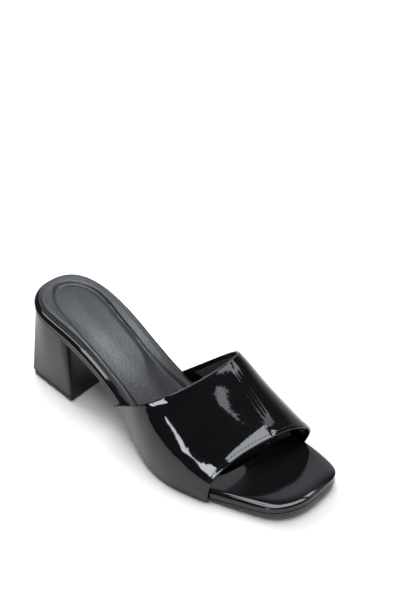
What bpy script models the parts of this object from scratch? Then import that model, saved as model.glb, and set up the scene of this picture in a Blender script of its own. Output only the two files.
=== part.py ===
"""Heeled slipper: a square open-toe mule with one wide vamp band and a flared block heel, right shoe.

The shoe points along +X, its inner (medial) side is +Y, and it stands on z = 0 on its heel tip and the
tread of its outsole. Tables and sizes are in millimetres, and MM turns them into metres.
"""
import bmesh
import bpy
import numpy as np

MM = 0.001

# Driving sizes of the last
HEEL_END = 3.6
TOE_END = 238.4
SEAT_CAP = 29.4
SEAT_ROUNDNESS = 2.2
TOE_CAP = 18.4
TOE_ROUNDNESS = {"lateral": 2.7, "medial": 5.0}
TOE_MIDDLE = 20.0
EASE = 4.0

# Plan, rim and layers of the bottom: one row for each section along the last.
# The breadths run from the heel's centre line to each side, rim is the height of the top edge, and footbed
# and sole are the thicknesses of those two layers, straight down.
LAST_COLUMNS = ("along", "lateral", "medial", "rim", "footbed", "sole")
LAST = (
    (-10.0, 27.8, 27.2, 69.6, 3.8, 1.3),
    (25.0, 27.6, 27.4, 61.1, 3.8, 1.3),
    (40.0, 27.0, 28.2, 57.8, 4.2, 1.5),
    (55.0, 26.0, 27.7, 54.3, 4.6, 2.2),
    (70.0, 25.6, 26.4, 50.0, 4.8, 2.4),
    (85.0, 25.4, 25.6, 43.8, 4.8, 2.2),
    (100.0, 25.3, 26.2, 35.5, 4.8, 2.2),
    (112.0, 26.1, 28.6, 27.0, 5.0, 2.2),
    (124.0, 28.4, 33.7, 18.0, 5.5, 2.2),
    (136.0, 31.4, 41.6, 13.1, 5.8, 2.2),
    (148.0, 33.1, 48.6, 10.6, 6.0, 2.2),
    (158.0, 32.9, 51.1, 8.6, 6.0, 2.2),
    (180.0, 28.2, 51.3, 8.6, 6.0, 2.2),
    (196.0, 22.8, 50.4, 10.5, 6.0, 2.2),
    (208.0, 18.0, 49.4, 11.3, 6.0, 2.2),
    (220.0, 12.8, 47.7, 12.1, 6.0, 2.2),
    (232.0, 7.0, 44.2, 13.7, 6.0, 2.2),
    (250.0, -2.0, 38.2, 17.5, 6.0, 2.2),
)

# Edges of the layers of the bottom
FIT_GAP = 0.4
RIM_ROUNDING = 2.6
WRAP_CHAMFER = 0.4
SOLE_ROUNDING = 0.4
SOLE_CHAMFER = 0.4
SOCK_THICKNESS = 1.6
SOCK_MARGIN = 3.4
SOCK_FRONT = 189.0
SOCK_FRONT_SLANT = 0.2
SOCK_SLANT_START = 150.0
SOCK_ROUNDING = 0.8
SOCK_CHAMFER = 0.2

# The vamp: one row for each section, from the waist to the toes.
# Crown is the height of its top, place is where the top lies across the width, and the two roundness
# columns are the powers of the curve down each side: 2 is an ellipse, more is squarer.
VAMP_COLUMNS = ("along", "crown", "place", "lateral_roundness", "medial_roundness", "medial_swell")
VAMP = (
    (98.0, 84.5, 0.78, 3.60, 3.00, 1.0),
    (110.0, 80.0, 0.78, 3.55, 3.00, 1.1),
    (145.0, 64.0, 0.70, 3.05, 2.95, 1.6),
    (170.0, 48.4, 0.64, 2.70, 2.90, 2.0),
    (200.0, 34.0, 0.57, 2.25, 2.85, 2.5),
    (215.0, 29.0, 0.54, 2.20, 2.85, 2.6),
)
VAMP_WALL = 1.6
VAMP_CLEARANCE = 0.35
VAMP_DROP = 8.0
LATERAL_SWELL = 1.1
MEDIAL_LEAN = 9.0

# Cut edges of the vamp: where each starts at the lateral sole edge, how far it has moved forward at the
# medial edge, how much it runs forward with each millimetre of height, and a bow across the middle.
EDGE_COLUMNS = ("start", "shift", "height", "rake_lateral", "rake_medial", "bow")
TOPLINE = dict(zip(EDGE_COLUMNS, (103.7, 6.9, 24.8, 1.324, 1.156, 3.66)))
TOE_OPENING = dict(zip(EDGE_COLUMNS, (189.1, 10.7, 1.9, 0.05, 0.30, 0.0)))

# Flared block heel and its tip
HEEL_FOOT_REAR = 12.5
HEEL_FOOT_FRONT = 57.7
HEEL_FOOT_HALF = 30.2
HEEL_FOOT_CORNER = 2.2
HEEL_SEAT_FRONT = 50.9
HEEL_SEAT_MARGIN = 0.6
BREAST_HOLLOW = 2.6
TIP_THICKNESS = 4.2
TIP_MARGIN = 0.3

# Mesh steps
CAP_STEPS = 12
MIDDLE_STEP = 4.5
VAMP_STEPS_ALONG = 18
VAMP_STEPS_ACROSS = 44
HEEL_STEPS_ROUND = 64
HEEL_STEPS_UP = 5
BREAST_STEPS = 10
BREAST_REACH = 3
CORNER_STEPS = 6
EDGE_STEPS = 2
RIM_STEPS = 5
SECTION_STEPS = 240
EASE_STEPS = 8
EDGE_ROUNDS = 24
EDGE_PULL = 0.4
WELD = 0.0005
SHARP_ANGLE = np.radians(40)


def column(columns, table, name):
    return np.array([row[columns.index(name)] for row in table])


def monotone(xs, ys, x):
    """Cubic through the rows that never overshoots and stays flat between equal rows."""
    step = np.diff(xs)
    rise = np.diff(ys) / step
    slope = np.concatenate([rise[:1], (rise[:-1] + rise[1:]) / 2, rise[-1:]])
    product = rise[:-1] * rise[1:]
    total = np.where(product > 0, rise[:-1] + rise[1:], 1.0)
    slope[1:-1] = np.where(product > 0, 2 * product / total, 0.0)
    row = int(np.clip(np.searchsorted(xs, x) - 1, 0, len(xs) - 2))
    t = (x - xs[row]) / step[row]
    near = (1 + 2 * t) * (1 - t) ** 2 * ys[row] + t * (1 - t) ** 2 * step[row] * slope[row]
    far = t * t * (3 - 2 * t) * ys[row + 1] + t * t * (t - 1) * step[row] * slope[row + 1]
    return near + far


def eased(columns, table, name, x):
    """A table column at x, averaged over a short window so that its curve has no kinks."""
    xs = column(columns, table, "along")
    ys = column(columns, table, name)
    window = np.linspace(-EASE, EASE, EASE_STEPS + 1)
    return float(np.mean([monotone(xs, ys, x + offset) for offset in window]))


def rim_height(x):
    return eased(LAST_COLUMNS, LAST, "rim", x)


def side_edge(side, x):
    """Breadth of the last on one side before its ends are rounded."""
    return eased(LAST_COLUMNS, LAST, side, x)


def side_slant(side, x):
    """How much longer a step across the edge is than the same step along Y."""
    slope = (side_edge(side, x + 1.0) - side_edge(side, x - 1.0)) / 2.0
    return float(np.hypot(1.0, slope))


def outline(side, x, inset=0.0):
    """Y of the plan outline on one side at x, with the round seat and the square toe, moved inwards."""
    sign = -1.0 if side == "lateral" else 1.0
    breadth = side_edge(side, x) - inset * side_slant(side, x)
    seat_reach = (HEEL_END + SEAT_CAP - x) / (SEAT_CAP - inset)
    toe_reach = (x - (TOE_END - TOE_CAP)) / (TOE_CAP - inset)
    if seat_reach > 0:
        left = max(0.0, 1.0 - seat_reach ** SEAT_ROUNDNESS)
        return sign * breadth * left ** (1 / SEAT_ROUNDNESS)
    if toe_reach > 0:
        power = TOE_ROUNDNESS[side]
        left = max(0.0, 1.0 - toe_reach ** power)
        return TOE_MIDDLE + (sign * breadth - TOE_MIDDLE) * left ** (1 / power)
    return sign * breadth


def stations(front, inset=0.0):
    """Places along the last, close together where the seat and the toe turn."""
    seat_end = HEEL_END + SEAT_CAP
    turn = np.linspace(0.0, np.pi / 2, CAP_STEPS + 1)
    seat = seat_end - (SEAT_CAP - inset) * np.cos(turn) ** (2 / SEAT_ROUNDNESS)
    toe_start = TOE_END - TOE_CAP
    middle_end = min(front, toe_start)
    count = int(round((middle_end - seat_end) / MIDDLE_STEP))
    middle = np.linspace(seat_end, middle_end, count + 1)
    if front <= toe_start:
        return np.concatenate([seat, middle[1:]])
    toe = toe_start + (TOE_CAP - inset) * np.sqrt(np.sin(turn))
    return np.concatenate([seat, middle[1:], toe[1:]])


def new_object(name, mesh_builder, material, collection, root):
    mesh = bpy.data.meshes.new(name)
    bm = bmesh.new()
    mesh_builder(bm)
    bmesh.ops.scale(bm, vec=(MM, MM, MM), verts=bm.verts)
    bmesh.ops.recalc_face_normals(bm, faces=bm.faces)
    bm.to_mesh(mesh)
    bm.free()
    obj = bpy.data.objects.new(name, mesh)
    obj.data.materials.append(material)
    obj.parent = root
    collection.objects.link(obj)
    return obj


def footbed_top(x):
    return 0.0


def footbed_bottom(x):
    return eased(LAST_COLUMNS, LAST, "footbed", x)


def sole_top(x):
    return footbed_bottom(x) + FIT_GAP


def sole_bottom(x):
    return sole_top(x) + eased(LAST_COLUMNS, LAST, "sole", x)


def sock_top(x):
    return -FIT_GAP - SOCK_THICKNESS


def sock_bottom(x):
    return -FIT_GAP


def half_section(side, margin, top, bottom, rounding, chamfer, steps):
    """Points (side, inset, depth function, extra depth) from a layer's underside round its edge to its top."""
    under = [(side, margin + chamfer, bottom, 0.0), (side, margin, bottom, -chamfer)]
    turn = np.linspace(np.pi / 2, 0, steps + 1)
    over = [(side, margin + rounding * (1 - np.sin(a)), top, rounding * (1 - np.cos(a))) for a in turn]
    return under + over


def layer(bm, front, lateral_half, medial_half, front_slant=0.0):
    """One layer of the bottom: a grid wrapped round the section and swept along the last.

    front_slant carries a cut front end forward on the medial side and back on the lateral one.
    """
    section = lateral_half + medial_half[::-1]
    section.append(section[0])
    rows = {inset: stations(front, inset) for _, inset, _, _ in section}
    count = len(rows[section[0][1]])
    bmesh.ops.create_grid(bm, x_segments=count - 1, y_segments=len(section) - 1, size=0.5)
    for vert in bm.verts:
        row = round((vert.co.x + 0.5) * (count - 1))
        side, inset, depth, extra = section[round((vert.co.y + 0.5) * (len(section) - 1))]
        x = rows[inset][row]
        y = outline(side, x, inset)
        if front_slant:
            x += front_slant * (y - TOE_MIDDLE) * max(0.0, x - SOCK_SLANT_START) / (front - SOCK_SLANT_START)
        vert.co = (x, y, rim_height(x) - depth(x) - extra)
    bmesh.ops.remove_doubles(bm, verts=bm.verts, dist=WELD)
    bmesh.ops.holes_fill(bm, edges=[edge for edge in bm.edges if edge.is_boundary])


def build_footbed(bm):
    sizes = (0.0, footbed_top, footbed_bottom, RIM_ROUNDING, WRAP_CHAMFER, RIM_STEPS)
    layer(bm, TOE_END, half_section("lateral", *sizes), half_section("medial", *sizes))


def build_outsole(bm):
    sizes = (0.0, sole_top, sole_bottom, SOLE_ROUNDING, SOLE_CHAMFER, EDGE_STEPS)
    layer(bm, TOE_END, half_section("lateral", *sizes), half_section("medial", *sizes))


def build_sock(bm):
    sizes = (SOCK_MARGIN, sock_top, sock_bottom, SOCK_ROUNDING, SOCK_CHAMFER, EDGE_STEPS)
    layer(bm, SOCK_FRONT, half_section("lateral", *sizes), half_section("medial", *sizes), SOCK_FRONT_SLANT)


def smooth_shade(obj):
    obj.data.shade_smooth()
    obj.data.set_sharp_from_angle(angle=SHARP_ANGLE)


def vamp_section(x):
    """The vamp's outer curve at x, from the lateral sole edge over the crown to the medial sole edge."""
    value = {name: eased(VAMP_COLUMNS, VAMP, name, x) for name in VAMP_COLUMNS[1:]}
    reach = VAMP_WALL + VAMP_CLEARANCE
    lateral = -side_edge("lateral", x) - reach * side_slant("lateral", x)
    medial = side_edge("medial", x) + reach * side_slant("medial", x)
    base = rim_height(x) - VAMP_DROP
    rise = value["crown"] - base
    top = lateral + (medial - lateral) * value["place"]
    angle = np.linspace(0, np.pi, SECTION_STEPS + 1)
    on_lateral = angle < np.pi / 2
    power = 2 / np.where(on_lateral, value["lateral_roundness"], value["medial_roundness"])
    half = np.where(on_lateral, lateral - top, medial - top)
    across = np.abs(np.cos(angle))
    up = np.clip(np.sin(angle), 0, 1) ** power
    swell = np.where(on_lateral, -LATERAL_SWELL, value["medial_swell"])
    y = top + half * across ** power
    lean = MEDIAL_LEAN * ((y - lateral) / (medial - lateral) - 0.5) * up ** 2
    y = y + swell * 4 * up * (1 - up) * np.sqrt(across)
    return y, base + rise * up + lean, lateral, medial


def vamp_point(x, share):
    """Point of the outer curve at x, a given share of its length from the lateral sole edge."""
    y, z, lateral, medial = vamp_section(x)
    run = np.concatenate([[0], np.cumsum(np.hypot(np.diff(y), np.diff(z)))])
    at = share * run[-1]
    y_at = float(np.interp(at, run, y))
    return y_at, float(np.interp(at, run, z)), (y_at - lateral) / (medial - lateral)


def cut_edge(edge, share):
    """Place along the shoe where a cut edge of the vamp crosses the line of this share."""
    x = edge["start"] + edge["shift"] * share
    for _ in range(EDGE_ROUNDS):
        _, z, across = vamp_point(x, share)
        rake = edge["rake_lateral"] + (edge["rake_medial"] - edge["rake_lateral"]) * across
        bow = edge["bow"] * 4 * across * (1 - across)
        target = edge["start"] + edge["shift"] * across + rake * (z - edge["height"]) + bow
        x += EDGE_PULL * (target - x)
    return x


def build_upper(bm):
    """Outer skin of the vamp between its two cut edges; Solidify gives it its wall, inwards."""
    bmesh.ops.create_grid(bm, x_segments=VAMP_STEPS_ALONG, y_segments=VAMP_STEPS_ACROSS, size=0.5)
    shares = np.linspace(0, 1, VAMP_STEPS_ACROSS + 1)
    rear = [cut_edge(TOPLINE, share) for share in shares]
    front = [cut_edge(TOE_OPENING, share) for share in shares]
    for vert in bm.verts:
        share = vert.co.y + 0.5
        along = vert.co.x + 0.5
        x = (1 - along) * np.interp(share, shares, rear) + along * np.interp(share, shares, front)
        y, z, _ = vamp_point(x, share)
        vert.co = (x, y, z)


def thicken_upper(obj):
    solidify = obj.modifiers.new("leather and lining", "SOLIDIFY")
    solidify.thickness = VAMP_WALL * MM
    solidify.offset = -1.0
    solidify.use_even_offset = True


def resample(points, count):
    """The same open line with its points evenly spaced."""
    points = np.array(points)
    run = np.concatenate([[0], np.cumsum(np.linalg.norm(np.diff(points, axis=0), axis=1))])
    at = np.linspace(0, run[-1], count + 1)
    return np.stack([np.interp(at, run, points[:, axis]) for axis in (0, 1)], axis=1)


def seat_line():
    """Plan of the heel's top from its lateral front corner round the back to the medial one."""
    places = [x for x in stations(TOE_END, HEEL_SEAT_MARGIN) if x < HEEL_SEAT_FRONT] + [HEEL_SEAT_FRONT]
    lateral = [(x, outline("lateral", x, HEEL_SEAT_MARGIN)) for x in reversed(places)]
    medial = [(x, outline("medial", x, HEEL_SEAT_MARGIN)) for x in places]
    return resample(lateral + medial[1:], HEEL_STEPS_ROUND)


def foot_line(margin=0.0):
    """Plan of the heel's foot: straight sides and back with small round rear corners."""
    radius = HEEL_FOOT_CORNER
    rear = HEEL_FOOT_REAR + margin
    front = HEEL_FOOT_FRONT - margin
    half = HEEL_FOOT_HALF - margin
    turn = np.linspace(0, np.pi / 2, CORNER_STEPS + 1)
    corner = [(rear + radius - radius * np.sin(a), -half + radius - radius * np.cos(a)) for a in turn]
    lateral = [(front, -half)] + corner
    medial = [(x, -y) for x, y in reversed(lateral)]
    return resample(lateral + medial, HEEL_STEPS_ROUND)


def breast_line(medial_corner, lateral_corner):
    """Hollow front edge of the heel, between its two front corners, without the corners."""
    share = np.linspace(0, 1, BREAST_STEPS + 1)[1:-1, None]
    line = medial_corner + (lateral_corner - medial_corner) * share
    line[:, 0] -= BREAST_HOLLOW * np.sin(np.pi * share[:, 0])
    return line


def heel_ring(line):
    return np.concatenate([line, breast_line(line[-1], line[0])])


def build_heel(bm):
    """Loft from the sloping round seat down to the flat square foot, with both ends closed."""
    seat = heel_ring(seat_line())
    foot = heel_ring(foot_line())
    seat_heights = np.array([rim_height(x) - sole_bottom(x) - FIT_GAP for x in seat[:, 0]])
    foot_height = TIP_THICKNESS + FIT_GAP
    rings = []
    for level in np.linspace(0, 1, HEEL_STEPS_UP + 1):
        plan = (1 - level) * foot + level * seat
        heights = (1 - level) * foot_height + level * seat_heights
        rings.append([bm.verts.new((x, y, z)) for (x, y), z in zip(plan, heights)])
    count = len(foot)
    for lower, upper in zip(rings[:-1], rings[1:]):
        for i in range(count):
            j = (i + 1) % count
            bm.faces.new((lower[i], lower[j], upper[j], upper[i]))
    bm.faces.new(rings[0])
    top = rings[-1]
    last = HEEL_STEPS_ROUND
    bm.faces.new(top[:BREAST_REACH + 1] + top[last - BREAST_REACH:])
    for i in range(BREAST_REACH, last // 2):
        strip = (top[i], top[i + 1], top[last - i - 1], top[last - i])
        bm.faces.new(list(dict.fromkeys(strip)))


def build_heel_tip(bm):
    ring = heel_ring(foot_line(TIP_MARGIN))
    base = bm.faces.new([bm.verts.new((x, y, 0.0)) for x, y in ring])
    upper = bmesh.ops.extrude_face_region(bm, geom=[base])
    upper_verts = [item for item in upper["geom"] if isinstance(item, bmesh.types.BMVert)]
    bmesh.ops.translate(bm, verts=upper_verts, vec=(0, 0, TIP_THICKNESS))


def make_material(name, colour, roughness):
    material = bpy.data.materials.new(name)
    material.use_nodes = True
    shader = material.node_tree.nodes["Principled BSDF"]
    shader.inputs["Base Color"].default_value = (*colour, 1.0)
    shader.inputs["Roughness"].default_value = roughness
    shader.inputs["Metallic"].default_value = 0.0
    return material


def stand_on_origin(root, parts):
    """Move the whole shoe so that the middle of its box, at floor height, is the origin."""
    bpy.context.view_layer.update()
    graph = bpy.context.evaluated_depsgraph_get()
    corners = []
    for obj in parts:
        mesh = obj.evaluated_get(graph).data
        corners += [obj.matrix_world @ vert.co for vert in mesh.vertices]
    corners = np.array(corners)
    low, high = corners.min(axis=0), corners.max(axis=0)
    root.location = (-(low[0] + high[0]) / 2, -(low[1] + high[1]) / 2, -low[2])


for old in list(bpy.data.objects):
    bpy.data.objects.remove(old, do_unlink=True)

shoe = bpy.data.collections.new("heeled_slipper")
bpy.context.scene.collection.children.link(shoe)
root = bpy.data.objects.new("heeled_slipper_root", None)
shoe.objects.link(root)

patent = make_material("black_patent", (0.006, 0.006, 0.007), 0.06)
footbed_patent = make_material("footbed_patent", (0.008, 0.008, 0.009), 0.10)
sock_lining = make_material("sock_lining", (0.035, 0.035, 0.038), 0.55)
sole_rubber = make_material("sole_rubber", (0.020, 0.020, 0.021), 0.50)
heel_cover = make_material("heel_cover", (0.016, 0.016, 0.017), 0.32)
tip_rubber = make_material("tip_rubber", (0.018, 0.018, 0.019), 0.60)

outsole = new_object("outsole", build_outsole, sole_rubber, shoe, root)
footbed = new_object("footbed", build_footbed, footbed_patent, shoe, root)
sock = new_object("sock", build_sock, sock_lining, shoe, root)
upper = new_object("upper", build_upper, patent, shoe, root)
thicken_upper(upper)
heel = new_object("heel", build_heel, heel_cover, shoe, root)
heel_tip = new_object("heel_tip", build_heel_tip, tip_rubber, shoe, root)

parts = (outsole, footbed, sock, upper, heel, heel_tip)
for part in parts:
    smooth_shade(part)
stand_on_origin(root, parts)
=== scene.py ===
from functools import partial

import bmesh
import bpy
import numpy as np
from mathutils import Matrix, Vector


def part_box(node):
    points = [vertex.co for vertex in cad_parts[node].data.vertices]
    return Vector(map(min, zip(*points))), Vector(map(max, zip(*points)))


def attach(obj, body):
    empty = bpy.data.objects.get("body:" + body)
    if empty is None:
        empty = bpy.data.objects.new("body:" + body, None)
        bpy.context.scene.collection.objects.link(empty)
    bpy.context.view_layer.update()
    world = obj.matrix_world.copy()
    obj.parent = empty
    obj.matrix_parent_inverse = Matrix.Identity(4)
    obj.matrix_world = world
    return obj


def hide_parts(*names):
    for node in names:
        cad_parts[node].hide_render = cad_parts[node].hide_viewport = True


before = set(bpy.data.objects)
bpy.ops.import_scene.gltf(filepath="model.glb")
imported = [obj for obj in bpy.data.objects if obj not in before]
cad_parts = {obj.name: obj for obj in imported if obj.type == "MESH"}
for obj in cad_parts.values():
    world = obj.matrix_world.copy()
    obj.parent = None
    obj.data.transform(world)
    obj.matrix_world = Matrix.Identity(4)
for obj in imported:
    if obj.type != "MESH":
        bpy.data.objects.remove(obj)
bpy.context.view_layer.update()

# Footbed
# A fibre board bent to the last and wrapped in patent leather, which is rolled over the rim and glued
# down underneath. Everything else is fixed to it, so the sizes of the last stand here, in millimetres.
MM = 0.001
HEEL_END = 3.6
TOE_END = 238.4
SEAT_CAP = 29.4
SEAT_ROUNDNESS = 2.2
TOE_CAP = 18.4
TOE_ROUNDNESS = {"lateral": 2.7, "medial": 5.0}
TOE_MIDDLE = 20.0
LAST_COLUMNS = ("along", "lateral", "medial", "rim", "footbed", "sole")
LAST = (
    (-10.0, 27.8, 27.2, 69.6, 3.8, 1.3),
    (25.0, 27.6, 27.4, 61.1, 3.8, 1.3),
    (40.0, 27.0, 28.2, 57.8, 4.2, 1.5),
    (55.0, 26.0, 27.7, 54.3, 4.6, 2.2),
    (70.0, 25.6, 26.4, 50.0, 4.8, 2.4),
    (85.0, 25.4, 25.6, 43.8, 4.8, 2.2),
    (100.0, 25.3, 26.2, 35.5, 4.8, 2.2),
    (112.0, 26.1, 28.6, 27.0, 5.0, 2.2),
    (124.0, 28.4, 33.7, 18.0, 5.5, 2.2),
    (136.0, 31.4, 41.6, 13.1, 5.8, 2.2),
    (148.0, 33.1, 48.6, 10.6, 6.0, 2.2),
    (158.0, 32.9, 51.1, 8.6, 6.0, 2.2),
    (180.0, 28.2, 51.3, 8.6, 6.0, 2.2),
    (196.0, 22.8, 50.4, 10.5, 6.0, 2.2),
    (208.0, 18.0, 49.4, 11.3, 6.0, 2.2),
    (220.0, 12.8, 47.7, 12.1, 6.0, 2.2),
    (232.0, 7.0, 44.2, 13.7, 6.0, 2.2),
    (250.0, -2.0, 38.2, 17.5, 6.0, 2.2),
)
EASE = 4.0
EASE_STEPS = 8
FINE_STEP = 0.25
SLANT_STEP = 1.0
LAYER_GAP = 0.25
RIM_DROP = 2.6
RIM_REACH = 4.0
TOE_REACH = 10.0
TOE_ROLL_START = 200.0
TOE_ROLL_LENGTH = 36.0
RIM_STEPS = 20
WRAP_EDGE = 0.5
CAP_STEPS = 60
MIDDLE_STEP = 1.5
TOP_COLUMNS = 12
WELD = 0.002
TOE_DIGITS = 9
SHARP_ANGLE = np.radians(38)


def monotone(xs, ys, x):
    """Cubic through table rows that never overshoots and stays flat between equal rows."""
    step = np.diff(xs)
    rise = np.diff(ys) / step
    product = rise[:-1] * rise[1:]
    total = np.where(product > 0, rise[:-1] + rise[1:], 1.0)
    slope = np.concatenate([rise[:1], np.where(product > 0, 2 * product / total, 0.0), rise[-1:]])
    row = np.clip(np.searchsorted(xs, x) - 1, 0, len(xs) - 2)
    t = (x - xs[row]) / step[row]
    near = (1 + 2 * t) * (1 - t) ** 2 * ys[row] + t * (1 - t) ** 2 * step[row] * slope[row]
    far = t * t * (3 - 2 * t) * ys[row + 1] + t * t * (t - 1) * step[row] * slope[row + 1]
    return near + far


def curve(columns, table, name):
    """A table column as a smooth function of the place along the last."""
    xs = np.array([row[0] for row in table])
    ys = np.array([row[columns.index(name)] for row in table])
    fine = np.arange(xs[0] + EASE, xs[-1] - EASE, FINE_STEP)
    window = np.linspace(-EASE, EASE, EASE_STEPS + 1)
    eased = np.mean([monotone(xs, ys, fine + offset) for offset in window], axis=0)
    return lambda x: np.interp(x, fine, eased)


rim = curve(LAST_COLUMNS, LAST, "rim")
footbed_depth = curve(LAST_COLUMNS, LAST, "footbed")
sole_thickness = curve(LAST_COLUMNS, LAST, "sole")
breadth = {side: curve(LAST_COLUMNS, LAST, side) for side in ("lateral", "medial")}


def slant(side, x):
    """How much longer a step across the edge is than the same step along Y."""
    change = breadth[side](x + SLANT_STEP) - breadth[side](x - SLANT_STEP)
    return np.hypot(1.0, change / (2 * SLANT_STEP))


def outline(side, x, inset=0.0):
    """Y of the plan outline on one side at x, with the round seat and the square toe, moved inwards."""
    edge = (breadth[side](x) - inset * slant(side, x)) * (-1.0 if side == "lateral" else 1.0)
    seat = np.clip((HEEL_END + SEAT_CAP - x) / (SEAT_CAP - inset), 0.0, 1.0)
    toe = np.clip(np.round((x - TOE_END + TOE_CAP) / (TOE_CAP - inset), TOE_DIGITS), 0.0, 1.0)
    power = TOE_ROUNDNESS[side]
    at_toe = TOE_MIDDLE + (edge - TOE_MIDDLE) * (1 - toe ** power) ** (1 / power)
    return np.where(toe > 0, at_toe, edge * (1 - seat ** SEAT_ROUNDNESS) ** (1 / SEAT_ROUNDNESS))


def stations(front, inset=0.0):
    """Places along the last, close together where the seat and the toe turn."""
    seat_end = HEEL_END + SEAT_CAP
    toe_start = TOE_END - TOE_CAP
    turn = np.linspace(0.0, np.pi / 2, CAP_STEPS + 1)
    seat = seat_end - (SEAT_CAP - inset) * np.cos(turn) ** (2 / SEAT_ROUNDNESS)
    middle_end = min(front, toe_start)
    middle = np.linspace(seat_end, middle_end, round((middle_end - seat_end) / MIDDLE_STEP) + 1)
    toe = toe_start + (TOE_CAP - inset) * np.sqrt(np.sin(turn)) if front > toe_start else np.empty(1)
    return np.concatenate([seat, middle[1:], toe[1:]])


def lay_grid(points):
    """A bmesh grid with its vertices moved to an array of points, its rows along X and columns along Y."""
    rows, columns = points.shape[:2]
    half = 0.5
    bm = bmesh.new()
    bmesh.ops.create_grid(bm, x_segments=rows - 1, y_segments=columns - 1, size=half)
    for vert in bm.verts:
        row = round((vert.co.x + half) * (rows - 1))
        column = round((vert.co.y + half) * (columns - 1))
        vert.co = points[row, column]
    bmesh.ops.remove_doubles(bm, verts=bm.verts, dist=WELD)
    return bm


last_place = Vector((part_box("footbed")[0].x, sum(corner.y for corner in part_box("heel_tip")) / 2, 0.0))
last_place.x -= HEEL_END * MM


def add_piece(name, bm, material, slot, *nodes):
    """Turns a bmesh in the last's millimetres into a smooth piece that stands for CAD nodes on the shoe."""
    bmesh.ops.recalc_face_normals(bm, faces=bm.faces)
    bmesh.ops.transform(bm, matrix=Matrix.Translation(last_place) @ Matrix.Scale(MM, 4), verts=bm.verts)
    mesh = bpy.data.meshes.new(name)
    bm.to_mesh(mesh)
    bm.free()
    mesh.shade_smooth()
    mesh.set_sharp_from_angle(angle=SHARP_ANGLE)
    piece = bpy.data.objects.new(name, mesh)
    piece.data.materials.append(material)
    bpy.context.scene.collection.objects.link(piece)
    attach(piece, "root")
    if nodes:
        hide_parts(*nodes)
    return piece


def ease_in(value):
    """Smooth step from 0 to 1."""
    value = np.clip(value, 0.0, 1.0)
    return value * value * (3 - 2 * value)


def rolled_edge(inset, reach, drop):
    """Depth of a rounded edge at a distance inside it, a quarter of an ellipse."""
    return drop * (1 - np.sqrt(1 - np.clip(1 - inset / reach, 0, 1) ** 2))


def footbed_top(x, inset):
    """Depth of the wrapped rim below the last, with a broader roll at the toe."""
    reach = RIM_REACH + (TOE_REACH - RIM_REACH) * ease_in((x - TOE_ROLL_START) / TOE_ROLL_LENGTH)
    return rolled_edge(inset, reach, RIM_DROP)


def section_half(side, top, bottom, reach, chamfer, steps):
    """Points (side, inset, depth, extra depth) from a layer's underside round its edge to its top."""
    under = [(side, chamfer, bottom, 0.0), (side, 0.0, bottom, -chamfer)]
    insets = reach * (1 - np.sin(np.linspace(np.pi / 2, 0, steps + 1)))
    return under + [(side, inset, partial(top, inset=inset), 0.0) for inset in insets]


def wrapped_layer(*sizes):
    """A layer of the bottom: its section swept from the seat to the toe, closed all round."""
    lateral = section_half("lateral", *sizes)
    medial = section_half("medial", *sizes)[::-1]
    columns = []
    for side, inset, depth, extra in lateral + medial + lateral[:1]:
        x = stations(TOE_END, inset)
        columns.append(np.stack([x, outline(side, x, inset), rim(x) - depth(x) - extra], axis=1))
    near, far = columns[len(lateral) - 1], columns[len(lateral)]
    top = [near + (far - near) * share for share in np.linspace(0, 1, TOP_COLUMNS + 1)[1:-1]]
    columns[len(lateral):len(lateral)] = top
    return lay_grid(np.stack(columns, axis=1))


PEBBLE_SHARE = 0.6
FLECK_DETAIL = 3.0
WANDER_DETAIL = 4.0


def grain_group():
    """Shared surface break-up: fine pebbles for bump, and a slow wander of tone."""
    group = bpy.data.node_groups.new("leather_break_up", "ShaderNodeTree")
    sockets = group.interface
    sockets.new_socket("Vector", in_out="INPUT", socket_type="NodeSocketVector")
    sockets.new_socket("Pebble Scale", in_out="INPUT", socket_type="NodeSocketFloat")
    sockets.new_socket("Wander Scale", in_out="INPUT", socket_type="NodeSocketFloat")
    sockets.new_socket("Height", in_out="OUTPUT", socket_type="NodeSocketFloat")
    sockets.new_socket("Tone", in_out="OUTPUT", socket_type="NodeSocketFloat")
    nodes, links = group.nodes, group.links
    given = nodes.new("NodeGroupInput")
    result = nodes.new("NodeGroupOutput")
    pebble = nodes.new("ShaderNodeTexVoronoi")
    pebble.feature = "SMOOTH_F1"
    fleck = nodes.new("ShaderNodeTexNoise")
    fleck.inputs["Detail"].default_value = FLECK_DETAIL
    wander = nodes.new("ShaderNodeTexNoise")
    wander.inputs["Detail"].default_value = WANDER_DETAIL
    for texture, scale in ((pebble, "Pebble Scale"), (fleck, "Pebble Scale"), (wander, "Wander Scale")):
        links.new(given.outputs["Vector"], texture.inputs["Vector"])
        links.new(given.outputs[scale], texture.inputs["Scale"])
    both = nodes.new("ShaderNodeMath")
    both.operation = "MULTIPLY_ADD"
    both.inputs[1].default_value = PEBBLE_SHARE
    links.new(pebble.outputs["Distance"], both.inputs[0])
    links.new(fleck.outputs["Fac"], both.inputs[2])
    links.new(both.outputs["Value"], result.inputs["Height"])
    links.new(wander.outputs["Fac"], result.inputs["Tone"])
    return group


break_up = grain_group()


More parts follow.
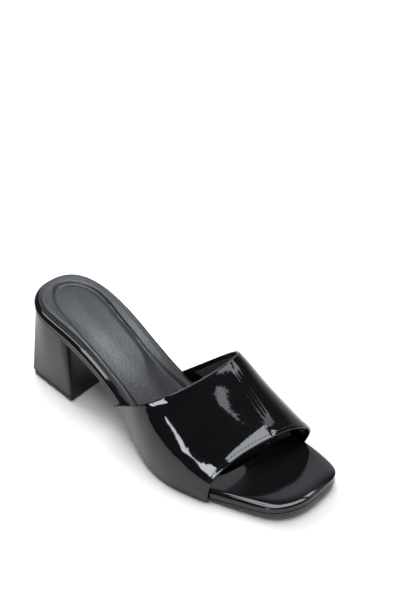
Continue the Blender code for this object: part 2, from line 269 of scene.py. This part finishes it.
def leather_finish(
        name, dark, light, rough_low, rough_high, pebble, wander, bump, bump_depth, ior=1.5, gloss=0.5):
    """A material whose tone and roughness wander slowly, with a fine grain in its normals."""
    material = bpy.data.materials.new(name)
    material.use_nodes = True
    nodes, links = material.node_tree.nodes, material.node_tree.links
    shader = nodes["Principled BSDF"]
    shader.inputs["IOR"].default_value = ior
    shader.inputs["Specular IOR Level"].default_value = gloss
    place = nodes.new("ShaderNodeTexCoord")
    grain = nodes.new("ShaderNodeGroup")
    grain.node_tree = break_up
    grain.inputs["Pebble Scale"].default_value = pebble
    grain.inputs["Wander Scale"].default_value = wander
    links.new(place.outputs["Object"], grain.inputs["Vector"])
    colour = nodes.new("ShaderNodeMix")
    colour.data_type = "RGBA"
    colour.inputs["A"].default_value = (*dark, 1.0)
    colour.inputs["B"].default_value = (*light, 1.0)
    links.new(grain.outputs["Tone"], colour.inputs["Factor"])
    links.new(colour.outputs["Result"], shader.inputs["Base Color"])
    rough = nodes.new("ShaderNodeMapRange")
    rough.inputs["To Min"].default_value = rough_low
    rough.inputs["To Max"].default_value = rough_high
    links.new(grain.outputs["Tone"], rough.inputs["Value"])
    links.new(rough.outputs["Result"], shader.inputs["Roughness"])
    relief = nodes.new("ShaderNodeBump")
    relief.inputs["Strength"].default_value = bump
    relief.inputs["Distance"].default_value = bump_depth
    links.new(grain.outputs["Height"], relief.inputs["Height"])
    links.new(relief.outputs["Normal"], shader.inputs["Normal"])
    return material


footbed_patent = leather_finish(
    "footbed_patent", dark=(0.004, 0.004, 0.0045), light=(0.008, 0.008, 0.009),
    rough_low=0.05, rough_high=0.09, pebble=260.0, wander=40.0, bump=0.03, bump_depth=0.0002)
add_piece(
    "wrapped_footbed",
    wrapped_layer(footbed_top, footbed_depth, TOE_REACH, WRAP_EDGE, RIM_STEPS),
    footbed_patent, "footbed_patent", "footbed")

# Outsole
# A thin moulded rubber sole, cemented under the wrapped footbed. Its edge is trimmed flush with the wrap,
# with its corners just broken, and it gets thinner over the heel seat.
SOLE_ROUNDING = 0.45
SOLE_CHAMFER = 0.35
SOLE_STEPS = 4


def sole_top(x, inset):
    """Depth of the sole's upper face below the last."""
    return footbed_depth(x) + LAYER_GAP + rolled_edge(inset, SOLE_ROUNDING, SOLE_ROUNDING)


def sole_bottom(x):
    """Depth of the sole's tread below the last."""
    return footbed_depth(x) + sole_thickness(x) + LAYER_GAP


sole_rubber = leather_finish(
    "sole_rubber", dark=(0.012, 0.012, 0.0125), light=(0.022, 0.022, 0.023),
    rough_low=0.30, rough_high=0.42, pebble=1400.0, wander=60.0, bump=0.12, bump_depth=0.0002)
add_piece(
    "moulded_outsole",
    wrapped_layer(sole_top, sole_bottom, SOLE_ROUNDING, SOLE_CHAMFER, SOLE_STEPS),
    sole_rubber, "sole_rubber", "outsole")

# Heel block
# A moulded block heel in a smooth satin cover, screwed on through the seat. It flares from the round seat
# down to a square foot, with soft corners beside its hollow breast.
HEEL_FOOT_REAR = 12.5
HEEL_FOOT_FRONT = 57.7
HEEL_FOOT_HALF = 30.2
HEEL_FOOT_CORNER = 1.2
HEEL_SEAT_FRONT = 50.9
HEEL_SEAT_MARGIN = 0.6
BREAST_HOLLOW = 2.6
TIP_THICKNESS = 4.2
TIP_MARGIN = 0.5
SIDE_STEPS = 220
BREAST_STEPS = 70
HEEL_RINGS = 40
CORNER_STEPS = 12
SEAT_CORNER_SOFTENING = 6
FOOT_CORNER_SOFTENING = 2
SOFTENING_ROUNDS = 2
CORNER_REACH = 14
FOOT_EDGE = 0.8


def resample(points, count):
    """The same open line with its points evenly spaced."""
    points = np.array(points, float)
    run = np.concatenate([[0.0], np.cumsum(np.linalg.norm(np.diff(points, axis=0), axis=1))])
    at = np.linspace(0.0, run[-1], count + 1)
    return np.stack([np.interp(at, run, points[:, axis]) for axis in range(points.shape[1])], axis=1)


def close_ring(side_line, softening):
    """Adds the hollow breast between the ring's two front corners, then softens them.

    The softening is full within CORNER_REACH points of a corner, and fades over as many again.
    """
    share = np.linspace(0, 1, BREAST_STEPS + 1)[1:-1, None]
    breast = side_line[-1] + (side_line[0] - side_line[-1]) * share
    breast[:, 0] -= BREAST_HOLLOW * np.sin(np.pi * share[:, 0])
    ring = np.concatenate([side_line, breast])
    shifts = range(-softening, softening + 1)
    soft = ring
    for _ in range(SOFTENING_ROUNDS):
        soft = np.mean([np.roll(soft, shift, axis=0) for shift in shifts], axis=0)
    place = np.arange(len(ring))
    from_corner = np.minimum(np.minimum(place, len(ring) - place), np.abs(place - len(side_line) + 1))
    softness = np.clip(2 - from_corner / CORNER_REACH, 0, 1)[:, None]
    return ring + (soft - ring) * softness


def seat_ring():
    """Plan of the heel's top, under the round seat."""
    x = stations(TOE_END, HEEL_SEAT_MARGIN)
    x = np.append(x[x < HEEL_SEAT_FRONT], HEEL_SEAT_FRONT)
    lateral = np.stack([x, outline("lateral", x, HEEL_SEAT_MARGIN)], axis=1)[::-1]
    medial = np.stack([x, outline("medial", x, HEEL_SEAT_MARGIN)], axis=1)
    return close_ring(resample(np.concatenate([lateral, medial[1:]]), SIDE_STEPS), SEAT_CORNER_SOFTENING)


def foot_ring(margin=0.0):
    """Plan of the heel's square foot, moved inwards."""
    rear, front = HEEL_FOOT_REAR + margin, HEEL_FOOT_FRONT - margin
    half, radius = HEEL_FOOT_HALF - margin, HEEL_FOOT_CORNER
    turn = np.linspace(0, np.pi / 2, CORNER_STEPS + 1)
    corner = np.stack(
        [rear + radius - radius * np.sin(turn), radius - half - radius * np.cos(turn)], axis=1)
    lateral = np.concatenate([[(front, -half)], corner])
    return close_ring(
        resample(np.concatenate([lateral, lateral[::-1] * (1, -1)]), SIDE_STEPS), FOOT_CORNER_SOFTENING)


def ring_stack(rings):
    """Closed body through rings of points: a grid wrapped round them, with its two ends filled."""
    points = np.array(rings)
    points = np.concatenate([points, points[:, :1]], axis=1)
    bm = lay_grid(points)
    bmesh.ops.holes_fill(bm, edges=[edge for edge in bm.edges if edge.is_boundary])
    return bm


seat, foot = seat_ring(), foot_ring()
seat_height = rim(seat[:, 0]) - sole_bottom(seat[:, 0]) - LAYER_GAP
foot_height = TIP_THICKNESS + LAYER_GAP
foot_middle = foot.mean(axis=0)
heel_rings = [np.column_stack([foot_middle + (foot - foot_middle) * (1 - FOOT_EDGE / HEEL_FOOT_HALF),
                               np.full(len(foot), foot_height)])]
for level in np.linspace(0, 1, HEEL_RINGS + 1):
    height = (1 - level) * (foot_height + FOOT_EDGE) + level * seat_height
    heel_rings.append(np.column_stack([(1 - level) * foot + level * seat, height]))
heel_cover = leather_finish(
    "heel_cover", dark=(0.006, 0.006, 0.0065), light=(0.011, 0.011, 0.012),
    rough_low=0.24, rough_high=0.32, pebble=900.0, wander=25.0, bump=0.05, bump_depth=0.0002, gloss=0.42)
add_piece("block_heel", ring_stack(heel_rings), heel_cover, "heel_cover", "heel")

# Heel tip
# A flat rubber top piece, nailed and cemented under the heel. It is trimmed a little inside the cover, so
# that a fine line shows round the foot.
TIP_EDGE = 0.7
tip_plan = foot_ring(TIP_MARGIN)
tip_middle = tip_plan.mean(axis=0)
tip_inner = tip_middle + (tip_plan - tip_middle) * (1 - TIP_EDGE / HEEL_FOOT_HALF)
tip_levels = (
    (tip_inner, 0.0),
    (tip_plan, TIP_EDGE),
    (tip_plan, TIP_THICKNESS - TIP_EDGE),
    (tip_inner, TIP_THICKNESS),
)
tip_rings = [np.column_stack([plan, np.full(len(plan), height)]) for plan, height in tip_levels]
tip_rubber = leather_finish(
    "tip_rubber", dark=(0.014, 0.014, 0.014), light=(0.026, 0.026, 0.026),
    rough_low=0.50, rough_high=0.66, pebble=1600.0, wander=90.0, bump=0.2, bump_depth=0.0002)
add_piece("heel_top_piece", ring_stack(tip_rings), tip_rubber, "tip_rubber", "heel_tip")

# Sock
# A lining of fine-grained synthetic leather over thin foam, glued on the footbed from the seat to the toes.
# A pressed step parts the crowned panel down its middle from the soft border, which is cupped towards it.
SOCK_MARGIN = 3.4
SOCK_FRONT = 189.0
SOCK_FRONT_SLANT = 0.2
SOCK_SLANT_START = 150.0
SOCK_COLUMNS = 96
SOCK_EDGE_LIFT = 0.3
SOCK_BORDER_LIFT = 3.6
SOCK_EDGE_WIDTH = 3.4
SOCK_BASE_LIFT = 0.12
PANEL_START = 16.0
PANEL_CAP = 23.0
PANEL_COLUMNS = ("along", "lateral", "medial")
PANEL = (
    (0.0, 14.0, 16.5),
    (34.0, 14.8, 17.0),
    (47.0, 16.5, 17.0),
    (60.0, 18.2, 15.3),
    (75.0, 18.7, 14.2),
    (90.0, 18.7, 13.5),
    (103.0, 17.8, 14.7),
    (117.0, 17.4, 19.5),
    (140.0, 19.0, 28.0),
    (200.0, 19.0, 30.0),
)
PANEL_CROWN = 1.9
PANEL_NEAR_WIDTH = 17.0
PANEL_FAR_WIDTH = 5.5
PANEL_FRONT_WIDTH = 22.0
PANEL_FRONT_RISE = 0.8
PANEL_WIDENING_START = 88.0
PANEL_WIDENING_LENGTH = 30.0
CUP_SLOPE = 0.10
CUP_WIDTH = 7.0
STEP_DEPTH = 1.6
STEP_WIDTH = 2.2
SEAT_STEP_SHIFT = 0.8
SEAT_STEP_FADE_START = 30.0
SEAT_STEP_FADE_LENGTH = 40.0
panel_edge = {side: curve(PANEL_COLUMNS, PANEL, side) for side in ("lateral", "medial")}


def sock_lift(x, y, edge_distance):
    """Height of the sock above the rim: a cupped border round the crowned panel, with its pressed step."""
    lift = SOCK_EDGE_LIFT + (SOCK_BORDER_LIFT - SOCK_EDGE_LIFT) * np.sqrt(
        1 - (1 - np.clip(edge_distance / SOCK_EDGE_WIDTH, 0, 1)) ** 2)
    lift = lift - CUP_SLOPE * np.clip(edge_distance - SOCK_EDGE_WIDTH, 0, CUP_WIDTH)
    behind = np.maximum((PANEL_START + PANEL_CAP - x) / PANEL_CAP, 0.0)
    narrowing = np.sqrt(1 - np.minimum(behind, 1.0) ** 2)
    half = np.where(y < 0, panel_edge["lateral"](x), panel_edge["medial"](x))
    from_edge = half * (1 - np.hypot(behind, y / half))
    from_lateral = y + panel_edge["lateral"](x) * narrowing
    from_medial = panel_edge["medial"](x) * narrowing - y
    widening = ease_in((x - PANEL_WIDENING_START) / PANEL_WIDENING_LENGTH)
    far_width = PANEL_FAR_WIDTH + (PANEL_FRONT_WIDTH - PANEL_FAR_WIDTH) * widening
    crown = ease_in(from_lateral / PANEL_NEAR_WIDTH) * ease_in(from_medial / far_width)
    crown = crown * narrowing * (PANEL_CROWN + PANEL_FRONT_RISE * widening)
    shift = SEAT_STEP_SHIFT * (1 - ease_in((x - SEAT_STEP_FADE_START) / SEAT_STEP_FADE_LENGTH))
    step = STEP_DEPTH * ease_in((from_edge + shift) / STEP_WIDTH + 0.5)
    return lift + crown - step


sock_rows = stations(SOCK_FRONT, SOCK_MARGIN)
sock_shares = (1 - np.cos(np.linspace(0, np.pi, SOCK_COLUMNS + 1))) / 2
sock_near = outline("lateral", sock_rows, SOCK_MARGIN)
sock_far = outline("medial", sock_rows, SOCK_MARGIN)
sock_y = sock_near[:, None] + (sock_far - sock_near)[:, None] * sock_shares
sock_x = np.repeat(sock_rows[:, None], SOCK_COLUMNS + 1, axis=1)
forward = np.clip(sock_x - SOCK_SLANT_START, 0, None) / (SOCK_FRONT - SOCK_SLANT_START)
sock_x = sock_x + SOCK_FRONT_SLANT * (sock_y - TOE_MIDDLE) * forward
sock_edge = np.concatenate([np.stack([sock_x[:, 0], sock_y[:, 0]], axis=1),
                            np.stack([sock_x[-1], sock_y[-1]], axis=1),
                            np.stack([sock_x[::-1, -1], sock_y[::-1, -1]], axis=1)])
sock_plan = np.stack([sock_x, sock_y], axis=2)
edge_distance = np.min(np.linalg.norm(sock_plan[:, :, None] - sock_edge, axis=3), axis=2)
sock_z = rim(sock_x) + sock_lift(sock_x, sock_y, edge_distance)
sock_bm = lay_grid(np.dstack([sock_x, sock_y, sock_z]))
sock_base = bmesh.ops.extrude_face_region(sock_bm, geom=sock_bm.faces[:])["geom"]
for vert in [item for item in sock_base if isinstance(item, bmesh.types.BMVert)]:
    vert.co.z = rim(vert.co.x) + SOCK_BASE_LIFT
sock_lining = leather_finish(
    "sock_lining", dark=(0.006, 0.0063, 0.007), light=(0.011, 0.0116, 0.013),
    rough_low=0.38, rough_high=0.50, pebble=1000.0, wander=50.0, bump=0.58, bump_depth=0.0003,
    ior=1.6, gloss=0.72)
sock = add_piece("padded_sock", sock_bm, sock_lining, "sock_lining", "sock")

# Vamp
# A wide band of black patent leather, lasted round the sides of the footbed and over the foot. Both cut
# edges are folded under and turn out a little. Pulling it over the last has left soft dents, most of them
# on the outer shoulder by the rear edge, and one crease along its top.
VAMP_COLUMNS = ("along", "crown", "place", "lateral_roundness", "medial_roundness", "medial_swell")
VAMP = (
    (98.0, 84.5, 0.78, 3.60, 3.00, 1.0),
    (110.0, 80.0, 0.78, 3.55, 3.00, 1.1),
    (145.0, 64.0, 0.70, 3.05, 2.95, 1.6),
    (170.0, 48.4, 0.64, 2.70, 2.90, 2.0),
    (200.0, 34.0, 0.57, 2.25, 2.85, 2.5),
    (215.0, 29.0, 0.54, 2.20, 2.85, 2.6),
)
VAMP_WALL = 1.6
VAMP_CLEARANCE = 0.35
VAMP_DROP = 8.0
LATERAL_SWELL = 1.1
MEDIAL_LEAN = 9.0
EDGE_COLUMNS = ("start", "shift", "height", "rake_lateral", "rake_medial", "bow")
TOPLINE = dict(zip(EDGE_COLUMNS, (103.7, 6.9, 24.8, 1.324, 1.156, 3.66)))
TOE_OPENING = dict(zip(EDGE_COLUMNS, (189.1, 10.7, 1.9, 0.05, 0.30, 0.0)))
VAMP_ROWS = 100
VAMP_SHARE_STEPS = 260
VAMP_SHARES = np.linspace(0, 1, VAMP_SHARE_STEPS + 1)
SECTION_STEP = 1.0
SECTION_STEPS = 400
EDGE_ROUNDS = 30
EDGE_PULL = 0.4
EDGE_ROLL_STEPS = 10
CREASE_COLUMNS = ("start", "start_side", "end", "end_side", "width", "height")
CREASES = (
    (152.0, 30.2, 194.0, 24.2, 1.6, -0.25),
)
CREASE_FADE = 0.7
DENT_COLUMNS = ("share", "share_width", "along", "along_width", "height")
DENTS = (
    (0.198, 0.055, 0.00, 0.12, 0.60),
    (0.283, 0.030, 0.00, 0.12, -0.85),
    (0.225, 0.050, -0.09, 0.12, 1.30),
    (0.180, 0.050, 0.95, 0.25, -0.30),
)
FLARE_WIDTH = 10.0
REAR_FLARE = 0.5
FRONT_FLARE = 0.8
FLARE_START = 0.15
FLARE_END = 0.58
FLARE_FADE = 0.08
vamp_value = {name: curve(VAMP_COLUMNS, VAMP, name) for name in VAMP_COLUMNS[1:]}


def vamp_section(x):
    """The vamp's outer curve at x, from the lateral sole edge over the crown to the medial sole edge."""
    reach = VAMP_WALL + VAMP_CLEARANCE
    lateral = -breadth["lateral"](x) - reach * slant("lateral", x)
    medial = breadth["medial"](x) + reach * slant("medial", x)
    base = rim(x) - VAMP_DROP
    top = lateral + (medial - lateral) * vamp_value["place"](x)
    angle = np.linspace(0, np.pi, SECTION_STEPS + 1)
    on_lateral = angle < np.pi / 2
    power = 2 / np.where(on_lateral, vamp_value["lateral_roundness"](x), vamp_value["medial_roundness"](x))
    half = np.where(on_lateral, lateral - top, medial - top)
    across = np.abs(np.cos(angle))
    up = np.clip(np.sin(angle), 0, 1) ** power
    swell = np.where(on_lateral, -LATERAL_SWELL, vamp_value["medial_swell"](x))
    y = top + half * across ** power
    lean = MEDIAL_LEAN * ((y - lateral) / (medial - lateral) - 0.5) * up ** 2
    y = y + swell * 4 * up * (1 - up) * np.sqrt(across)
    z = base + (vamp_value["crown"](x) - base) * up + lean
    run = np.concatenate([[0.0], np.cumsum(np.hypot(np.diff(y), np.diff(z)))])
    at = VAMP_SHARES * run[-1]
    y_at = np.interp(at, run, y)
    return y_at, np.interp(at, run, z), (y_at - lateral) / (medial - lateral)


section_places = np.arange(VAMP[0][0] + EASE, VAMP[-1][0] - EASE, SECTION_STEP)
sections = np.array([vamp_section(x) for x in section_places])


def vamp_line(x):
    """Y, Z and place across of the outer surface, one point for each share, at the places x."""
    picks = range(len(VAMP_SHARES))
    line = []
    for part in range(sections.shape[1]):
        line.append(np.array([np.interp(x[i], section_places, sections[:, part, i]) for i in picks]))
    return line


def cut_edge(edge):
    """Places along the shoe where a cut edge of the vamp crosses each share."""
    x = edge["start"] + edge["shift"] * VAMP_SHARES
    for _ in range(EDGE_ROUNDS):
        _, z, across = vamp_line(x)
        rake = edge["rake_lateral"] + (edge["rake_medial"] - edge["rake_lateral"]) * across
        bow = edge["bow"] * 4 * across * (1 - across)
        x += EDGE_PULL * (edge["start"] + edge["shift"] * across + rake * (z - edge["height"]) + bow - x)
    return x


def unit(vectors):
    """The same directions at a length of 1."""
    return vectors / np.linalg.norm(vectors, axis=-1, keepdims=True)


def surface_normals(points):
    """Outward directions of a grid of points."""
    return unit(np.cross(np.gradient(points, axis=0), np.gradient(points, axis=1)))


def crease_lift(x, y):
    """Sum of the soft troughs and ridges, each along a line in plan that fades out at its ends."""
    lift = np.zeros_like(x)
    for values in CREASES:
        crease = dict(zip(CREASE_COLUMNS, values))
        start = np.array((crease["start"], crease["start_side"]))
        run = np.array((crease["end"], crease["end_side"])) - start
        length = np.linalg.norm(run)
        offset = np.stack([x, y], axis=-1) - start
        along = (offset @ run) / length ** 2
        beside = (offset[..., 0] * run[1] - offset[..., 1] * run[0]) / length
        fade = np.sin(np.pi * np.clip(along, 0, 1)) ** CREASE_FADE
        lift += crease["height"] * fade * np.exp(-(beside / crease["width"]) ** 2)
    return lift


def dent_lift(along, share):
    """Sum of the soft dents and swells, each a spot at one share of the curve and one place along it."""
    lift = np.zeros((len(along), len(share)))
    for values in DENTS:
        dent = dict(zip(DENT_COLUMNS, values))
        beside = (share - dent["share"]) / dent["share_width"]
        ahead = (along[:, None] - dent["along"]) / dent["along_width"]
        lift += dent["height"] * np.exp(-beside ** 2 - ahead ** 4)
    return lift


rear_edge, front_edge = cut_edge(TOPLINE), cut_edge(TOE_OPENING)
vamp_skin = []
vamp_rows = np.linspace(0, 1, VAMP_ROWS + 1)
for along in vamp_rows:
    x = (1 - along) * rear_edge + along * front_edge
    y, z, _ = vamp_line(x)
    vamp_skin.append(np.stack([x, y, z], axis=1))
vamp_skin = np.array(vamp_skin)
vamp_normal = surface_normals(vamp_skin)
row_steps = np.linalg.norm(np.diff(vamp_skin, axis=0), axis=2)
from_rear = np.concatenate([np.zeros((1, len(VAMP_SHARES))), np.cumsum(row_steps, axis=0)])
from_front = from_rear[-1] - from_rear
front_flare = ease_in((VAMP_SHARES - FLARE_START) / FLARE_FADE)
front_flare = front_flare * ease_in((FLARE_END - VAMP_SHARES) / FLARE_FADE)
flare = REAR_FLARE * np.clip(1 - from_rear / FLARE_WIDTH, 0, 1) ** 2
flare = flare + FRONT_FLARE * np.clip(1 - from_front / FLARE_WIDTH, 0, 1) ** 2 * front_flare
vamp_lift = crease_lift(vamp_skin[..., 0], vamp_skin[..., 1]) + dent_lift(vamp_rows, VAMP_SHARES)
vamp_lift = vamp_lift + flare
vamp_skin = vamp_skin + vamp_normal * vamp_lift[..., None]
vamp_normal = surface_normals(vamp_skin)


def edge_roll(points, normals, outward, thickness):
    """Rows that carry a skin round its edge to its inner side, in a half circle."""
    rows = []
    for angle in np.linspace(np.pi / 2, -np.pi / 2, EDGE_ROLL_STEPS + 2)[1:-1]:
        step = np.cos(angle) * outward + (np.sin(angle) - 1) * normals
        rows.append(points + step * thickness / 2)
    return rows


def thick_sheet(skin, normals, thickness):
    """Closed sheet: the skin, its inner side, its rolled front and rear edges, and its flat sides."""
    inner = skin - normals * thickness
    middle = skin - normals * thickness / 2
    front = edge_roll(skin[-1], normals[-1], unit(skin[-1] - skin[-2]), thickness)
    rear = edge_roll(skin[0], normals[0], unit(skin[0] - skin[1]), thickness)
    rows = np.array(list(skin) + front + list(inner[::-1]) + rear[::-1] + [skin[0]])
    sides = list(middle) + [middle[-1]] * len(front) + list(middle[::-1]) + [middle[0]] * (len(rear) + 1)
    sides = np.array(sides)
    return lay_grid(np.concatenate([sides[:, :1], rows, sides[:, -1:]], axis=1))


black_patent = leather_finish(
    "black_patent", dark=(0.0035, 0.0035, 0.004), light=(0.007, 0.007, 0.0078),
    rough_low=0.035, rough_high=0.07, pebble=260.0, wander=45.0, bump=0.20, bump_depth=0.0002)
add_piece(
    "patent_vamp", thick_sheet(vamp_skin, vamp_normal, VAMP_WALL), black_patent, "black_patent", "upper")

# Vamp lining
# A thin black synthetic lining, glued inside the vamp. It stops short of both folded edges, where it is
# trimmed, and above the sock at its two sides.
LINING_INSET = 3.2
LINING_THICKNESS = 0.35
LINING_ROWS = 60
LINING_SIDE_INSET = 22
LINING_SHARES = slice(LINING_SIDE_INSET, len(VAMP_SHARES) - LINING_SIDE_INSET)


def rows_between(grid, first, last, count):
    """A grid resampled along its rows, between distances inside its rear and its front edge."""
    out = []
    for share in range(grid.shape[1]):
        at = np.linspace(first, from_rear[-1, share] - last, count + 1)
        line = [np.interp(at, from_rear[:, share], grid[:, share, axis]) for axis in range(grid.shape[2])]
        out.append(np.stack(line, axis=1))
    return np.stack(out, axis=1)


inner_skin = vamp_skin - vamp_normal * VAMP_WALL
lining_skin = rows_between(inner_skin, LINING_INSET, LINING_INSET, LINING_ROWS)[:, LINING_SHARES]
lining_normal = surface_normals(lining_skin)
vamp_lining = leather_finish(
    "vamp_lining", dark=(0.060, 0.060, 0.065), light=(0.080, 0.080, 0.086),
    rough_low=0.26, rough_high=0.38, pebble=1300.0, wander=50.0, bump=0.15, bump_depth=0.0002)
add_piece(
    "vamp_lining", thick_sheet(lining_skin, lining_normal, LINING_THICKNESS), vamp_lining, "black_patent")

# Edge stitches
# One row of black thread holds down the fold of the toe opening, about two millimetres in from the edge.
# Each stitch is a short raised bead that dips into the leather at both ends.
STITCH_INSET = 2.2
STITCH_PITCH = 2.5
STITCH_LENGTH = 1.9
STITCH_WIDTH = 0.55
STITCH_SEGMENTS = 8
STITCH_RINGS = 6
STITCH_SIDE_INSET = 30
STITCH_SHARES = slice(STITCH_SIDE_INSET, len(VAMP_SHARES) - STITCH_SIDE_INSET)
stitch_line = rows_between(vamp_skin, 0.0, STITCH_INSET, 1)[-1][STITCH_SHARES]
stitch_up = rows_between(vamp_normal, 0.0, STITCH_INSET, 1)[-1][STITCH_SHARES]
stitch_count = int(np.linalg.norm(np.diff(stitch_line, axis=0), axis=1).sum() / STITCH_PITCH)
stitch_places = resample(np.concatenate([stitch_line, stitch_up], axis=1), stitch_count)
stitch_bm = bmesh.new()
for before, here, after in zip(stitch_places[:-2], stitch_places[1:-1], stitch_places[2:]):
    run = Vector(after[:3] - before[:3]).normalized()
    up = Vector(here[3:]).normalized()
    side = up.cross(run).normalized()
    turn = Matrix((run, side, run.cross(side))).transposed().to_4x4()
    size = Matrix.Diagonal((STITCH_LENGTH / 2, STITCH_WIDTH / 2, STITCH_WIDTH / 2, 1.0))
    place = Matrix.Translation(Vector(here[:3]))
    bmesh.ops.create_uvsphere(
        stitch_bm, u_segments=STITCH_SEGMENTS, v_segments=STITCH_RINGS, radius=1.0,
        matrix=place @ turn @ size)
stitch_thread = leather_finish(
    "stitch_thread", dark=(0.012, 0.012, 0.013), light=(0.020, 0.020, 0.021),
    rough_low=0.40, rough_high=0.55, pebble=3000.0, wander=90.0, bump=0.3, bump_depth=0.0001)
add_piece("toe_edge_stitches", stitch_bm, stitch_thread, "black_patent")

# Studio
# A table of warm white paper with a pale sweep behind it, in a darker room, under cool soft boxes, so that
# the table looks neutral. The camera stands where the photograph was taken from, and the lights' directions
# are measured from its heading. The back fill lights the table and the shoe, and isn't mirrored in the
# leather.
CAMERA_PLACE = Vector((0.3109, -0.2836, 0.4055))
CAMERA_AIM = Vector((-0.0850, 0.1104, 0.0))
CAMERA_LENS = 50.15
CAMERA_RISE = 0.0026
FLOOR_SIZE = 12.0
FLOOR_COLOUR = (0.91, 0.867, 0.82)
FLOOR_ROUGHNESS = 0.9
LIGHT_COLOUR = (0.90, 0.945, 1.0)
ROOM_TONE = 0.035
SWEEP_TONE = 0.95
SWEEP_START = 0.45
SWEEP_FULL = 0.85
UNMIRRORED_BOX = "back_fill"
# Each row: name, azimuth, elevation and roll in degrees, distance, width and height in metres, brightness
SOFT_BOXES = (
    ("overhead_box", 139.0, 86.5, 0.0, 1.5, 1.30, 0.64, 7.5),
    (UNMIRRORED_BOX, -24.0, 44.0, 0.0, 1.8, 1.60, 0.80, 6.8),
    ("right_box", 105.5, 59.2, 34.0, 1.6, 0.13, 0.26, 3.6),
    ("far_right_box", 79.0, 60.0, 0.0, 1.6, 0.13, 0.26, 2.4),
    ("toe_box", 43.0, 59.5, 0.0, 1.6, 0.46, 0.16, 8.0),
    ("rear_box", -41.0, 72.42, 0.0, 1.506, 0.30, 0.482, 7.5),
    ("waist_box", 92.0, 44.0, 0.0, 1.6, 0.45, 0.22, 4.0),
    ("left_strip", -156.0, 27.5, 0.0, 1.6, 0.16, 0.44, 14.0),
)

camera = bpy.data.objects.new("photo_camera", bpy.data.cameras.new("photo_camera"))
camera.location = CAMERA_PLACE
camera.rotation_euler = (CAMERA_AIM - CAMERA_PLACE).to_track_quat("-Z", "Y").to_euler()
camera.data.lens = CAMERA_LENS
camera.data.shift_y = CAMERA_RISE
bpy.context.scene.collection.objects.link(camera)
bpy.context.scene.camera = camera

floor_mesh = bpy.data.meshes.new("white_table")
floor_bm = bmesh.new()
bmesh.ops.create_grid(floor_bm, x_segments=1, y_segments=1, size=FLOOR_SIZE / 2)
floor_bm.to_mesh(floor_mesh)
floor_bm.free()
floor = bpy.data.objects.new("white_table", floor_mesh)
floor_paper = bpy.data.materials.new("white_paper")
floor_paper.use_nodes = True
floor_shader = floor_paper.node_tree.nodes["Principled BSDF"]
floor_shader.inputs["Base Color"].default_value = (*FLOOR_COLOUR, 1.0)
floor_shader.inputs["Roughness"].default_value = FLOOR_ROUGHNESS
floor_shader.inputs["Specular IOR Level"].default_value = 0.0
floor_mesh.materials.append(floor_paper)
bpy.context.scene.collection.objects.link(floor)

heading = CAMERA_AIM - CAMERA_PLACE
heading.z = 0.0
heading.normalize()
rightward = Vector((heading.y, -heading.x, 0.0))


def direction(azimuth, elevation):
    """Unit vector: azimuth 0 is straight away from the camera and grows to its right."""
    a, e = np.radians(azimuth), np.radians(elevation)
    level = heading * float(np.cos(a)) + rightward * float(np.sin(a))
    return level * float(np.cos(e)) + Vector((0.0, 0.0, float(np.sin(e))))


for name, azimuth, elevation, roll, distance, width, height, brightness in SOFT_BOXES:
    lamp = bpy.data.lights.new(name, "AREA")
    lamp.shape = "RECTANGLE"
    lamp.size = width
    lamp.size_y = height
    lamp.color = LIGHT_COLOUR
    lamp.energy = brightness * np.pi * width * height
    box = bpy.data.objects.new(name, lamp)
    box.location = direction(azimuth, elevation) * distance
    facing = direction(azimuth, elevation).to_track_quat("Z", "Y").to_matrix()
    box.rotation_euler = (facing @ Matrix.Rotation(np.radians(roll), 3, "Z")).to_euler()
    box.visible_glossy = name != UNMIRRORED_BOX
    bpy.context.scene.collection.objects.link(box)

world = bpy.data.worlds.new("studio_room")
bpy.context.scene.world = world
world.use_nodes = True
world_nodes, world_links = world.node_tree.nodes, world.node_tree.links
background = world_nodes["Background"]
background.inputs["Color"].default_value = (*LIGHT_COLOUR, 1.0)
view_direction = world_nodes.new("ShaderNodeTexCoord")
toward_sweep = world_nodes.new("ShaderNodeVectorMath")
toward_sweep.operation = "DOT_PRODUCT"
toward_sweep.inputs[1].default_value = heading
sweep_share = world_nodes.new("ShaderNodeMapRange")
sweep_share.interpolation_type = "SMOOTHSTEP"
sweep_share.inputs["From Min"].default_value = SWEEP_START
sweep_share.inputs["From Max"].default_value = SWEEP_FULL
sweep_share.inputs["To Min"].default_value = ROOM_TONE
sweep_share.inputs["To Max"].default_value = SWEEP_TONE
world_links.new(view_direction.outputs["Generated"], toward_sweep.inputs[0])
world_links.new(toward_sweep.outputs["Value"], sweep_share.inputs["Value"])
world_links.new(sweep_share.outputs["Result"], background.inputs["Strength"])
bpy.context.scene.view_settings.view_transform = "Standard"
